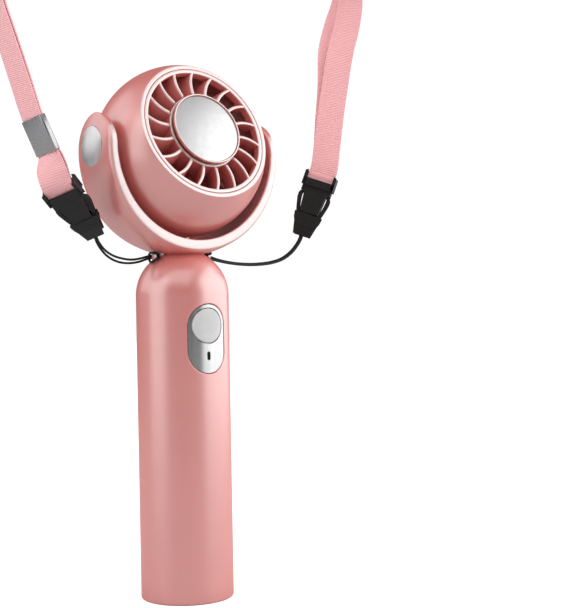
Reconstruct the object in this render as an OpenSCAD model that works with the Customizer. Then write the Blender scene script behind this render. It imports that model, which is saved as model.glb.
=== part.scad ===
// Handheld electric fan with a tilting ball head in a yoke, a cylindrical
// grip and a neck lanyard. Millimetres, +Z up, air outlet towards -Y.
// The origin is the inside top of the lanyard loop, where the fan hangs.

/* [Grip] */
// Outside diameter of the grip
grip_d = 32; // [30:0.5:36]
// Height of the straight part of the grip, below its dome
grip_h = 104; // [102:1:112]
// Wall of the grip
grip_wall = 1.8; // [1.5:0.1:2.2]
// Width of the metal control panel
panel_w = 14.4; // [13.5:0.1:15.5]
// Height of the metal control panel
panel_h = 23.2; // [22:0.1:25]
// Diameter of the power button
button_d = 12; // [10:0.1:12.6]
// How far the power button travels
button_travel = 0.5; // [0.3:0.1:0.5]

/* [Yoke] */
// Outside radius of the yoke
yoke_r = 35.2; // [35:0.1:36]
// Width of the yoke, front to back
yoke_w = 22.8; // [20:0.2:26]
// Height of the tilt axis above the foot of the grip
pivot_h = 153.6; // [153:0.2:155]

/* [Head] */
// Radius of the ball head
ball_r = 29.7; // [29:0.1:30]
// Wall of the head shells
shell_wall = 1.8; // [1.5:0.1:2]
// How far the head looks up at rest
head_tilt = 20; // [0:1:40]
// Distance of the grille's face from the tilt axis
face_y = 16.9; // [16:0.1:17.5]
// Number of vanes in the grille
vane_count = 18; // [12:1:22]
// Radius of the metal centre disc
disc_r = 12.2; // [11:0.1:12.4]
// Number of impeller blades
blade_count = 9; // [5:1:11]

/* [Lanyard] */
// Width of the ribbon
ribbon_w = 10; // [9:0.1:10]
// Thickness of the ribbon
ribbon_t = 0.65; // [0.5:0.05:0.7]
// Diameter of the thin cord in each attachment loop
cord_d = 0.8; // [0.6:0.1:0.8]

/* [Hidden] */
$fn = 96;

grip_r = grip_d / 2;
bore_r = grip_r - grip_wall;
// Where the lanyard loop bears on a neck or a hook, above the foot of the grip
loop_h = 252.4;

pink = [0.86, 0.60, 0.57];
dark_pink = [0.72, 0.42, 0.40];
steel = [0.80, 0.80, 0.81];
black = [0.12, 0.12, 0.12];
ribbon_pink = [0.95, 0.66, 0.68];

// Everything is drawn with the foot of the grip at zero and lowered here.
module hang() { translate([0, 0, -loop_h]) children(); }

// The head's own frame: tilt axis along X, face towards -Y, turned up at rest.
module head_frame() { hang() translate([0, 0, pivot_h]) rotate([-head_tilt, 0, 0]) children(); }

// A cylinder along Y, from y0 to y1.
module along_y(r, y0, y1) { translate([0, y1, 0]) rotate([90, 0, 0]) cylinder(r = r, h = y1 - y0); }

// A cylinder along X, from x0 to x1.
module along_x(r, x0, x1) { translate([x0, 0, 0]) rotate([0, 90, 0]) cylinder(r = r, h = x1 - x0); }

// A flat-ended slot shape with round ends, upright in the XZ plane, y0 to y1.
module upright_slot(w, h, y0, y1) {
    along_span = h / 2 - w / 2;
    for (s = [-1, 1]) translate([0, 0, s * along_span]) along_y(w / 2, y0, y1);
    translate([-w / 2, y0, -along_span]) cube([w, y1 - y0, 2 * along_span]);
}

// ---------------------------------------------------------------- grip

panel_z = grip_h - 14.75;
button_z = panel_z + panel_h / 2 - panel_w / 2;
lens_z = panel_z - 5.75;
neck_r = 7;
foot_r = 10.9;
port_z = 7;
port_w = 9;
port_h = 3.2;

module grip_shell() {
    edge = 0.5;
    color(pink) hang() difference() {
        union() {
            rotate_extrude() polygon([[bore_r, 0], [grip_r - edge, 0], [grip_r, edge],
                [grip_r, grip_h], [bore_r, grip_h]]);
            translate([0, 0, grip_h]) intersection() {
                difference() {
                    sphere(r = grip_r);
                    sphere(r = bore_r);
                }
                cylinder(r = grip_r + 1, h = grip_r + 1);
            }
        }
        cylinder(r = neck_r + 0.05, h = 2 * grip_h);
        translate([0, 0, panel_z]) upright_slot(panel_w, panel_h, -grip_r - 1, 0);
        translate([0, 0, port_z]) rotate([0, 90, 0]) upright_slot(port_h + 0.4, port_w + 0.4, 0, grip_r + 1);
    }
}

module base_cap() {
    rim_t = 1.4;
    color(dark_pink) hang() difference() {
        translate([0, 0, 0.4]) cylinder(r = bore_r, h = 4);
        translate([0, 0, 2]) cylinder(r = bore_r - rim_t, h = 3);
        cylinder(r = foot_r + 0.1, h = 1);
    }
}

module foot_pad() { color(black) hang() cylinder(r = foot_r, h = 1); }

module charging_port() {
    port_depth = 7.4;
    color(steel) hang() translate([0, 0, port_z]) rotate([0, 90, 0]) difference() {
        upright_slot(port_h, port_w, grip_r - 0.6 - port_depth, grip_r - 0.6);
        upright_slot(port_h - 0.7, port_w - 0.7, grip_r - port_depth, grip_r);
    }
}

module port_board() {
    color("darkgreen") hang() translate([-6, 2, port_z - port_h / 2 - 1]) cube([12, 10.4, 1]);
}

cell_d = 18.2;
cell_z = 12;

module battery_cell() {
    nipple = 1;
    color("steelblue") hang() translate([0, 0, cell_z]) {
        cylinder(d = cell_d, h = 65 - nipple);
        cylinder(d = 6, h = 65);
    }
}

module battery_sleeve() {
    color("ivory") hang() translate([0, 0, cell_z + 20]) difference() {
        cylinder(r = bore_r - 0.1, h = 20);
        translate([0, 0, -1]) cylinder(d = cell_d, h = 22);
    }
}

board_y = -9;
board_z = 78.2;

module circuit_board() {
    color("darkgreen") hang() translate([-9.5, board_y, board_z]) difference() {
        cube([19, 1.2, 25]);
        for (x = [2, 17]) translate([x, 0, 22.5]) along_y(0.8, -1, 2);
    }
}

bracket_y = board_y + 4.4;

// A plate across the grip, with two bosses that the board is screwed to.
module board_bracket() {
    boss_z = board_z + 22.5;
    color("ivory") hang() difference() {
        union() {
            translate([-13, bracket_y, board_z + 1]) cube([26, 1.4, 24]);
            for (x = [-7.5, 7.5]) translate([x, 0, boss_z]) along_y(1.9, board_y + 1.2, bracket_y + 0.5);
        }
        for (x = [-7.5, 7.5]) translate([x, 0, boss_z]) along_y(0.8, board_y, board_y + 3.5);
    }
}

// Two small screws hold the board's upper corners.
module board_screws() {
    color(steel) hang() for (x = [-7.5, 7.5]) translate([x, 0, board_z + 22.5]) {
        along_y(1.3, board_y - 0.9, board_y);
        along_y(0.8, board_y, board_y + 3.4);
    }
}

switch_front = board_y - 2.6;

module tact_switch() {
    color(black) hang() translate([0, 0, button_z]) {
        translate([-3, board_y - 2, -3]) cube([6, 2, 6]);
        along_y(1.5, switch_front, board_y - 1.9);
    }
}

module indicator_led() {
    color("ivory") hang() translate([-0.8, board_y - 1, lens_z - 1.2]) cube([1.6, 1, 2.4]);
}

panel_back = -grip_r + 3;
lens_w = 1.2;
lens_h = 2.9;

// The panel follows the grip's curve, 0.25 below its surface.
module control_panel() {
    color(steel) hang() intersection() {
        cylinder(r = grip_r - 0.25, h = 2 * grip_h);
        difference() {
            translate([0, 0, panel_z]) upright_slot(panel_w - 0.1, panel_h - 0.1, -grip_r, panel_back);
            translate([0, 0, button_z]) along_y(button_d / 2 + 0.15, -grip_r - 1, panel_back + 1);
            translate([0, 0, lens_z]) upright_slot(lens_w + 0.1, lens_h + 0.1, -grip_r - 1, panel_back + 1);
        }
    }
}

// The button follows the grip's curve too. It has a flange behind the panel
// and a plunger that reaches the switch.
module power_button() {
    flange_y = panel_back + 0.1;
    color([0.85, 0.85, 0.86]) hang() {
        intersection() {
            cylinder(r = grip_r - 0.08, h = 2 * grip_h);
            translate([0, 0, button_z]) along_y(button_d / 2, -grip_r, flange_y + 0.1);
        }
        translate([0, 0, button_z]) {
            along_y(button_d / 2 + 0.7, flange_y, flange_y + 0.5);
            along_y(1.6, flange_y, switch_front - button_travel - 0.1);
        }
    }
}

module indicator_lens() {
    color("dimgray") hang() intersection() {
        cylinder(r = grip_r - 0.3, h = 2 * grip_h);
        translate([0, 0, lens_z]) upright_slot(lens_w, lens_h, -grip_r, panel_back);
    }
}

// ---------------------------------------------------------------- yoke

yoke_wall = 2.4;
yoke_drop = 1;
pin_r = 4;
cap_r = 6.95;
cap_seat_x = 33.9;
boss_r = 6.3;
boss_x = 31.9;
lug_x = 9.6;
lug_z = 117.7;
lug_hole_r = 0.9;
lug_edge_x = 11.5;
lug_t = 1.6;
stem_r = 6.9;
stem_z = 108;

// A spherical band that carries the head between two arms with round ends,
// on a short stem, with a pierced lug on each side of the stem.
module yoke() {
    inner_r = yoke_r - yoke_wall;
    low = pivot_h - yoke_r - yoke_drop;
    color(pink) hang() difference() {
        union() {
            intersection() {
                difference() {
                    translate([0, 0, pivot_h - yoke_drop]) sphere(r = yoke_r);
                    translate([0, 0, pivot_h]) sphere(r = inner_r);
                }
                union() {
                    translate([-50, -yoke_w / 2, low - 10]) cube([100, yoke_w, pivot_h - low + 10]);
                    translate([0, 0, pivot_h]) along_x(yoke_w / 2, -50, 50);
                }
            }
            for (s = [-1, 1]) translate([0, 0, pivot_h])
                along_x(boss_r, s > 0 ? boss_x : -33.4, s > 0 ? 33.4 : -boss_x);
            difference() {
                translate([0, 0, grip_h]) cylinder(r = stem_r, h = low - grip_h + 2.5);
                cylinder(r = stem_r + 1, h = stem_z);
            }
            for (s = [0, 1]) mirror([s, 0, 0]) difference() {
                translate([0, lug_t / 2, 0]) rotate([90, 0, 0]) linear_extrude(lug_t)
                    polygon([[4, 114.6], [lug_edge_x - 0.5, 115.6], [lug_edge_x, 116.1], [lug_edge_x, 118.4],
                        [lug_edge_x - 0.4, 118.9], [lug_edge_x - 1, 119.6], [4, 119.6]]);
                translate([0, 0, grip_h]) sphere(r = grip_r + 0.1);
            }
        }
        for (s = [-1, 1]) translate([0, 0, pivot_h]) {
            along_x(pin_r + 0.05, s > 0 ? 25 : -50, s > 0 ? 50 : -25);
            along_x(cap_r + 0.05, s > 0 ? cap_seat_x : -50, s > 0 ? 50 : -cap_seat_x);
        }
        for (s = [-1, 1]) translate([s * lug_x, 0, lug_z]) along_y(lug_hole_r, -3, 3);
        cylinder(r = 3.5, h = stem_z + 7.5);
    }
}

module stem_nut() {
    color(steel) hang() translate([0, 0, 111.9]) difference() {
        cylinder(d = 17.6, h = 3, $fn = 6);
        translate([0, 0, -1]) cylinder(r = stem_r, h = 5);
    }
}

// A thin disc with a shallow dome, pressed over the end of the pivot.
module pivot_cap(side) {
    dome_r = 30;
    edge_x = cap_seat_x + 0.85;
    dome_h = dome_r - sqrt(dome_r * dome_r - cap_r * cap_r);
    color(steel) hang() translate([0, 0, pivot_h]) mirror([side < 0 ? 1 : 0, 0, 0]) intersection() {
        along_x(cap_r, cap_seat_x, cap_seat_x + 3);
        translate([edge_x + dome_h - dome_r, 0, 0]) sphere(r = dome_r, $fn = 360);
    }
}
module pivot_cap_left() { pivot_cap(-1); }
module pivot_cap_right() { pivot_cap(1); }

// ---------------------------------------------------------------- head

shell_r = ball_r - shell_wall;
seam_y = 14;
screw_r = 21.5;
head_boss_x = 30.6;
ring_r = 23;
ring_in_r = 21.6;
hub_r = 13.2;

module pivot_pin(side) {
    color(steel) head_frame() mirror([side < 0 ? 1 : 0, 0, 0]) difference() {
        along_x(pin_r, 26.6, 33.8);
        along_x(1.5, 26, 34);
        along_x(2.7, 32, 34);
    }
}
module pivot_pin_left() { pivot_pin(-1); }
module pivot_pin_right() { pivot_pin(1); }

module pivot_screw(side) {
    color("dimgray") head_frame() mirror([side < 0 ? 1 : 0, 0, 0]) difference() {
        union() {
            along_x(2.6, 32, 33.6);
            along_x(1.45, 25.2, 32.2);
        }
        along_x(0.9, 32.9, 34, $fn = 6);
    }
}
module pivot_screw_left() { pivot_screw(-1); }
module pivot_screw_right() { pivot_screw(1); }

module friction_washer(side) {
    color("ivory") head_frame() mirror([side < 0 ? 1 : 0, 0, 0]) difference() {
        along_x(boss_r, head_boss_x, 31.5);
        along_x(pin_r, 29, 33);
    }
}
module friction_washer_left() { friction_washer(-1); }
module friction_washer_right() { friction_washer(1); }

module ball_shell(y0, y1) {
    intersection() {
        rotate([90, 0, 0]) difference() {
            sphere(r = ball_r);
            sphere(r = shell_r);
        }
        along_y(ball_r + 2, y0, y1);
    }
}

// The front shell carries the pivots and ends in the rim round the grille.
module head_shell_front() {
    seat_y = -14;
    color(pink) head_frame() difference() {
        union() {
            ball_shell(-face_y, seam_y);
            difference() {
                along_y(ring_r + 2.5, seat_y, seat_y + 1.4);
                along_y(ring_in_r + 0.8, seat_y - 1, seat_y + 3);
            }
            for (s = [-1, 1]) along_x(boss_r, s > 0 ? 26.6 : -head_boss_x, s > 0 ? head_boss_x : -26.6);
        }
        along_y(ring_r + 0.05, -30, seat_y);
        for (s = [-1, 1]) along_x(pin_r, s > 0 ? 20 : -40, s > 0 ? 40 : -20);
    }
}

// The rear shell has radial slots for the air inlet and three screw bores.
module head_shell_rear() {
    slots = 24;
    color(pink) head_frame() difference() {
        ball_shell(seam_y, 40);
        for (i = [0 : slots - 1]) rotate([0, i * 360 / slots, 0])
            translate([6, 15, -0.7]) cube([i % 2 == 0 ? 11 : 6.5, 20, 1.4]);
        for (i = [0 : 2]) rotate([0, 90 + i * 120, 0]) translate([screw_r, 0, 0]) along_y(1.2, 5, 35);
    }
}

module head_screws() {
    color("dimgray") head_frame() for (i = [0 : 2]) rotate([0, 90 + i * 120, 0])
        translate([screw_r, 0, 0]) along_y(1.15, 12.5, 19.5);
}

vane_depth = 7.6;
plate_y = -face_y + 0.1 + vane_depth;
vane_t = 1.15;
vane_swirl = 5.8;
vane_bow = 2;
vane_phase = 8.8;

// One vane: a thin arc in plan, from the ring in to the hub. It turns by
// vane_swirl degrees on the way in, and is vane_bow ahead of that halfway.
module vane() {
    steps = 6;
    function at(i, side) = let (
        r = ring_in_r + 0.6 + (hub_r - 0.3 - ring_in_r - 0.6) * i / steps,
        a = vane_swirl * i / steps + vane_bow * sin(180 * i / steps))
        [r * cos(a) - side * vane_t / 2 * sin(a), r * sin(a) + side * vane_t / 2 * cos(a)];
    translate([0, plate_y, 0]) rotate([90, 0, 0]) linear_extrude(vane_depth)
        polygon(concat([for (i = [0 : steps]) at(i, 1)], [for (i = [steps : -1 : 0]) at(i, -1)]));
}

module grille() {
    color(pink) head_frame() {
        difference() {
            along_y(ring_r, -face_y, -14);
            along_y(ring_in_r, -face_y - 1, -13);
        }
        for (i = [0 : vane_count - 1]) rotate([0, -vane_phase - i * 360 / vane_count, 0]) vane();
        difference() {
            along_y(hub_r, -face_y + 0.6, plate_y);
            along_y(hub_r - 1, -face_y, plate_y - 1);
            along_y(3, -20, 0);
            for (s = [-1, 1]) translate([s * 5, 0, 0]) along_y(0.8, -20, 0);
        }
    }
}

// A mushroom-shaped cap that stands proud of the hub and carries the disc.
module hub_cap() {
    color(pink) head_frame() difference() {
        union() {
            along_y(disc_r + 0.6, -face_y - 1.8, -face_y - 0.5);
            along_y(9.5, -face_y - 0.6, plate_y - 1);
        }
        along_y(disc_r, -30, -face_y - 1);
        along_y(8, -face_y, 0);
    }
}

module centre_disc() {
    dome_r = 60;
    front_y = -face_y - 2.5;
    color(steel) head_frame() intersection() {
        along_y(disc_r - 0.05, -30, -face_y - 1);
        translate([0, front_y + dome_r, 0]) sphere(r = dome_r, $fn = 360);
    }
}

motor_front = plate_y;
motor_back = 2.5;

module motor_can() {
    color(steel) head_frame() difference() {
        along_y(9.4, motor_front, motor_back);
        along_y(0.8, motor_front - 1, motor_back + 1);
        for (s = [-1, 1]) translate([s * 5, 0, 0]) along_y(0.8, motor_front - 1, motor_front + 3);
    }
}

module motor_screws() {
    color("dimgray") head_frame() for (s = [-1, 1]) translate([s * 5, 0, 0]) {
        along_y(1.6, plate_y - 2.2, plate_y - 1);
        along_y(0.75, plate_y - 1.1, motor_front + 2.5);
    }
}

module motor_shaft() { color(steel) head_frame() along_y(0.75, motor_front + 0.5, 8.5); }

// A cup that runs over the motor, with tilted blades round it.
module impeller() {
    cup_r = 11.2;
    cup_end = 5;
    tip_r = 23.4;
    blade_pitch = 38;
    color("white") head_frame() {
        difference() {
            along_y(cup_r, -6.8, cup_end);
            along_y(9.8, -8, 3.4);
            along_y(0.75, -8, 9);
        }
        difference() {
            along_y(2.2, cup_end - 0.1, 7);
            along_y(0.75, -8, 9);
        }
        intersection() {
            difference() {
                along_y(tip_r, -6.2, 4.6);
                along_y(cup_r - 0.4, -7, 3.4);
            }
            for (i = [0 : blade_count - 1]) rotate([0, i * 360 / blade_count, 0])
                rotate([blade_pitch, 0, 0]) translate([cup_r - 0.8, -9, -0.5]) cube([16, 18, 1]);
        }
    }
}

module shaft_clip() {
    color("dimgray") head_frame() difference() {
        along_y(1.8, 7.05, 7.6);
        along_y(0.75, 6, 9);
    }
}

// ---------------------------------------------------------------- lanyard

// Each row of a route is x, y, z, the heading of the ribbon's width, half the
// gap between the two layers, and how far the outer layer slips along its
// width. Heights are above the foot of the grip.
strap_route = [
    [-53.1, -0.5, 156, -80, 0.38, 0], [-55.5, 0, 161.5, -80, 0.38, 0], [-59.5, 0, 173, -80, 0.45, 0],
    [-64, 0, 186, -82, 0.5, 0], [-68, 0, 198, -85, 0.5, 0], [-70, 0, 210, -90, 0.5, 0],
    [-68, 0, 222, -90, 0.5, 0], [-61, 0, 234, -90, 0.45, 0], [-47, 0, 244, -90, 0.4, 0],
    [-24, 0, 251, -90, 0.4, 0], [0, 0, 253.1, -90, 0.4, 0], [24, 0, 252, -90, 0.4, 0],
    [48, 0, 246, -90, 0.4, 0], [67, 0, 237, -85, 0.5, 0], [77, 0, 227, -75, 0.6, -1],
    [79, 0, 216, -58, 0.7, -3], [77, 0, 206, -45, 0.7, -4], [73.5, 0, 196, -36, 0.7, -3.5],
    [69.8, -0.5, 182, -32, 0.6, -1.5], [66.2, -1.5, 168, -34, 0.5, -0.5], [63.6, -2.5, 157, -40, 0.7, 0],
    [62, -2.9, 150.5, -45, 1, 0], [60.6, -2, 145.8, -46, 1.12, 0]];
ribbon_route = [
    [-53.1, -0.5, 155.9, -80, 0.38, 0], [-50.9, -1, 150.6, -82, 0.42, 0], [-50.7, -2.4, 147, -66, 0.8, 0],
    [-50.6, -3.7, 143.4, -45, 1.1, 0], [-49.6, -3.95, 140.3, -31, 1.12, 0], [-47.2, -3, 138.2, -30, 1.12, 0]];

// The two buckles: the middle of each webbing bar and of each tip.
bar_left = [-47.2, -3, 138.2];
tip_left = [-32, 3, 125.1];
face_left = -30;
bar_right = [60.6, -2, 145.8];
tip_right = [54.6, 2, 126.1];
face_right = -46;

function unit(v) = v / norm(v);

// Direction of a route at row i, from its neighbours.
function heading(route, i) = let (last = len(route) - 1, a = route[max(i - 1, 0)], b = route[min(i + 1, last)])
    unit([b[0] - a[0], b[1] - a[1], b[2] - a[2]]);

// A direction made square to another.
function squared(v, along) = unit(v - (v * along) * along);

// The ribbon's width direction: its heading in plan, made square to the route.
function width_dir(turn, along) = squared([cos(turn), sin(turn), 0], along);

// Triangles between the rings of a swept solid, and its two end faces.
function tube_skin(rows, sides) = [for (i = [0 : rows - 2]) for (j = [0 : sides - 1]) for (half = [0, 1])
    let (k = (j + 1) % sides, a = i * sides, b = a + sides)
    half == 0 ? [a + j, a + k, b + k] : [a + j, b + k, b + j]];
function tube_ends(rows, sides) = [for (j = [1 : sides - 2]) for (last = [0, 1])
    last == 0 ? [0, j + 1, j] : [(rows - 1) * sides, (rows - 1) * sides + j, (rows - 1) * sides + j + 1]];

// Corners of a flat section with small chamfers, in half widths.
function flat_section(w, t) = let (c = t / 4) [
    [w - c, t], [w, t - c], [w, c - t], [w - c, -t], [c - w, -t], [-w, c - t], [-w, t - c], [c - w, t]];

// One layer of ribbon, swept along a route on the given side of it.
module ribbon_layer(route, side) {
    section = flat_section(ribbon_w / 2, ribbon_t / 2);
    sides = len(section);
    rows = len(route);
    points = [for (i = [0 : rows - 1]) let (
        along = heading(route, i), w = width_dir(route[i][3], along), n = cross(along, w),
        slip = side < 0 ? route[i][5] : 0,
        p = [route[i][0], route[i][1], route[i][2]] + side * route[i][4] * n + slip * w)
        for (q = section) p + q[0] * w + q[1] * n];
    polyhedron(points, concat(tube_skin(rows, sides), tube_ends(rows, sides)));
}

// A frame at a point, its Z axis towards "from", its X axis along the heading.
module stand_at(from, to, turn) {
    up = unit(from - to);
    lean = acos(up[2]);
    aim = atan2(up[1], up[0]);
    translate(from) rotate([0, lean, aim])
        rotate([0, 0, atan2(sin(turn - aim), cos(lean) * cos(turn - aim))]) children();
}
module at_left() { stand_at(bar_left, tip_left, face_left) children(); }
module at_right() { stand_at(bar_right, tip_right, face_right) children(); }

bar_r = 0.7;

// Where the ribbon turns under a buckle's bar.
module bar_turn() {
    mid_r = bar_r + 0.42;
    difference() {
        along_x(mid_r + ribbon_t / 2, -ribbon_w / 2, ribbon_w / 2, $fn = 24);
        along_x(mid_r - ribbon_t / 2, -ribbon_w, ribbon_w, $fn = 24);
        translate([-ribbon_w, -5, 0]) cube([2 * ribbon_w, 10, 5]);
    }
}

module strap_inner() {
    color(ribbon_pink) hang() {
        ribbon_layer(strap_route, 1);
        at_right() bar_turn();
    }
}
module strap_outer() { color(ribbon_pink) hang() ribbon_layer(strap_route, -1); }

module buckle_ribbon() {
    color(ribbon_pink) hang() {
        ribbon_layer(ribbon_route, 1);
        ribbon_layer(ribbon_route, -1);
        at_left() bar_turn();
    }
}

// A flat metal tube closed over the ribbon's ends.
module crimp() {
    crimp_w = 11;
    crimp_t = 2.3;
    crimp_wall = 0.3;
    color(steel) hang() stand_at([-55.5, 0, 161.5], [-50.9, -1, 150.6], -80) difference() {
        translate([-crimp_w / 2, -crimp_t / 2, -12]) cube([crimp_w, crimp_t, 12]);
        translate([crimp_wall - crimp_w / 2, crimp_wall - crimp_t / 2, -13])
            cube([crimp_w - 2 * crimp_wall, crimp_t - 2 * crimp_wall, 14]);
    }
}

// Buckle sizes, in each buckle's own frame: bar at zero, tip downwards.
buckle_t = 3.4;
collar_t = 4.8;
ear_x = 5.9;
ear_t = 0.8;
lip_t = 0.8;
socket_end = -17.4;
tip_end = -21;
arm_t = 1.7;
arm_x = 3.6;
arm_z = -13.9;

function mirrored(half) = concat(half, [for (i = [len(half) - 2 : -1 : 1]) [-half[i][0], half[i][1]]]);

module slab(outline, t) { translate([0, t / 2, 0]) rotate([90, 0, 0]) linear_extrude(t) polygon(outline); }

// A box centred on X and Y, from z0 to z1.
module block(w, t, z0, z1) { translate([-w / 2, -t / 2, z0]) cube([w, t, z1 - z0]); }

// The half with the webbing bar: a collar with two ears and two lips, then
// shoulders, a spine between two open windows, and a mouth for the plug.
module buckle_socket() {
    half = [[0, -2.1], [5.3, -2.1], [5.3, -4.8], [3.95, -4.8], [3.2, -12.9], [4.9, -13.3], [4.6, -15.2],
        [3.7, socket_end], [0, socket_end]];
    difference() {
        slab(mirrored(half), buckle_t);
        block(5.7, arm_t + 0.2, socket_end - 1, -6.9);
        block(6.6, arm_t + 0.2, socket_end - 1, -14.6);
        for (s = [-1, 1]) translate([s * (arm_x + 0.025), 0, 0]) block(1.55, arm_t + 0.2, -14.7, -12.8);
    }
    difference() {
        block(2 * ear_x, collar_t, -2.6, 2.7);
        block(2 * (ear_x - ear_t), collar_t + 1, -0.2, 5);
        block(2 * (ear_x - ear_t), collar_t - 2 * lip_t, -2.1, 5);
    }
    along_x(bar_r, ear_t / 2 - ear_x, ear_x - ear_t / 2);
}

// The half that the cord hangs from: tip, tongue and centre blade.
module buckle_plug() {
    half = [[0, socket_end - 0.1], [3.65, socket_end - 0.1], [2.85, tip_end], [0, tip_end]];
    difference() {
        slab(mirrored(half), buckle_t - 0.2);
        translate([0, 0, tip_end - 1]) cylinder(r = 1.05, h = 3.6);
    }
    block(6.3, arm_t, socket_end - 0.2, -14.75);
    block(5.2, arm_t, -14.8, -7.1);
}

// One sprung arm. It turns about its round root in the mouth, and bows out
// through the window to where a finger squeezes it.
module prong(side) {
    outline = [[3.05, arm_z], [4.15, arm_z], [4.25, -13.3], [4.8, -12.5], [5.45, -10], [5.95, -7.8],
        [6, -6.4], [5.7, -5.55], [5.1, -5.1], [4.7, -5.35], [4.95, -5.95], [5, -6.8], [4.85, -8.2],
        [4.5, -10.2], [4.05, -12.2], [3.3, -13.1]];
    slab([for (p = outline) [side * p[0], p[1]]], arm_t);
    translate([side * arm_x, 0, arm_z]) along_y(0.55, -arm_t / 2, arm_t / 2);
}

module buckle_socket_left() { color(black) hang() at_left() buckle_socket(); }
module buckle_socket_right() { color(black) hang() at_right() buckle_socket(); }
module buckle_plug_left() { color(black) hang() at_left() buckle_plug(); }
module buckle_plug_right() { color(black) hang() at_right() buckle_plug(); }
module prong_left_a() { color(black) hang() at_left() prong(-1); }
module prong_left_b() { color(black) hang() at_left() prong(1); }
module prong_right_a() { color(black) hang() at_right() prong(-1); }
module prong_right_b() { color(black) hang() at_right() prong(1); }

// Each attachment cord: out of the tip, through the lug from behind, round
// its edge, down behind the lug, round its lower corner and back again.
cord_left_route = [
    [-32.3, 3, 125.9], [-31.2, 2.6, 122.6], [-29.3, 2.2, 119.9], [-26.4, 1.9, 117.9], [-22.8, 1.7, 116.8],
    [-19, 1.5, 116.4], [-15.4, 1.4, 116.9], [-12.9, 1.4, 117.5], [-10.8, 1.4, 117.9], [-9.7, 0.9, 118.1],
    [-9.7, -0.9, 118.1], [-11.2, -1.4, 118.5], [-12.1, 0.2, 118.7], [-12, 1.7, 118.3], [-11.8, 2.3, 117.2],
    [-11.8, 1.7, 115.9], [-12.1, 0, 115.6], [-11.2, -1.4, 116.4], [-9.7, -0.9, 117.3], [-9.7, 0.9, 117.3],
    [-10.8, 1.4, 117.1], [-13.2, 1.4, 116.6], [-16.2, 1.5, 115.7], [-20, 1.6, 115.2], [-24, 1.8, 115.6],
    [-27.6, 2.1, 117.2], [-30.4, 2.5, 120], [-31.9, 2.9, 122.9], [-32.5, 3, 125.9]];
cord_right_route = [
    [54.7, 2.4, 127.1], [53.9, 2.8, 124.4], [52, 3, 121.8], [49.2, 3, 119.3], [45.6, 2.9, 117.3],
    [41, 2.8, 116], [35, 2.6, 115.3], [28, 2.4, 115.2], [21, 2.1, 115.8], [16, 1.7, 116.7],
    [12.9, 1.4, 117.5], [10.8, 1.4, 117.9], [9.7, 0.9, 118.1], [9.7, -0.9, 118.1], [11.2, -1.4, 118.5],
    [12.1, 0.2, 118.7], [12, 1.7, 118.3], [11.8, 2.3, 117.2], [11.8, 1.7, 115.9], [12.1, 0, 115.6],
    [11.2, -1.4, 116.4], [9.7, -0.9, 117.3], [9.7, 0.9, 117.3], [10.8, 1.4, 117.1], [13.4, 1.2, 116.6],
    [16.6, 0.9, 115.9], [21.4, 1.2, 115.2], [28, 1.5, 114.7], [35, 1.7, 114.8], [41.4, 1.9, 115.6],
    [46, 2, 117], [49.8, 2, 119.3], [52.6, 2, 122], [54.3, 1.8, 124.6], [54.9, 1.5, 127.1]];

// A round cord swept along a route with eight sides, its rings carried
// along without twist.
module cord(route) {
    sides = 8;
    rows = len(route);
    dirs = [for (i = [0 : rows - 1]) heading(route, i)];
    side_dirs = [for (i = 0, u = squared([0, 1, 0], dirs[0]); i < rows;
        i = i + 1, u = i < rows ? squared(u, dirs[i]) : u) u];
    points = [for (i = [0 : rows - 1]) let (u = side_dirs[i], v = cross(u, dirs[i]))
        for (j = [0 : sides - 1]) let (a = j * 360 / sides)
            route[i] + cord_d / 2 * (cos(a) * u + sin(a) * v)];
    polyhedron(points, concat(tube_skin(rows, sides), tube_ends(rows, sides)));
}
module attachment_cord_left() { color(black) hang() cord(cord_left_route); }
module attachment_cord_right() { color(black) hang() cord(cord_right_route); }

// ---------------------------------------------------------------- output

grip_shell();
base_cap();
foot_pad();
charging_port();
port_board();
battery_cell();
battery_sleeve();
circuit_board();
board_bracket();
board_screws();
tact_switch();
indicator_led();
control_panel();
power_button();
indicator_lens();
yoke();
stem_nut();
pivot_cap_left();
pivot_cap_right();
pivot_pin_left();
pivot_pin_right();
pivot_screw_left();
pivot_screw_right();
friction_washer_left();
friction_washer_right();
head_shell_front();
head_shell_rear();
head_screws();
grille();
hub_cap();
centre_disc();
motor_can();
motor_screws();
motor_shaft();
impeller();
shaft_clip();
buckle_socket_left();
buckle_socket_right();
buckle_plug_left();
buckle_plug_right();
prong_left_a();
prong_left_b();
prong_right_a();
prong_right_b();
crimp();
strap_inner();
strap_outer();
buckle_ribbon();
attachment_cord_left();
attachment_cord_right();
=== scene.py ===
"""Looks for a handheld fan with a tilting ball head and a neck lanyard.

Sizes are in metres. Heights are measured from the foot of the grip, and
lift() moves them into the model's frame, whose origin is the top of the loop.
"""

import math

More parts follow.
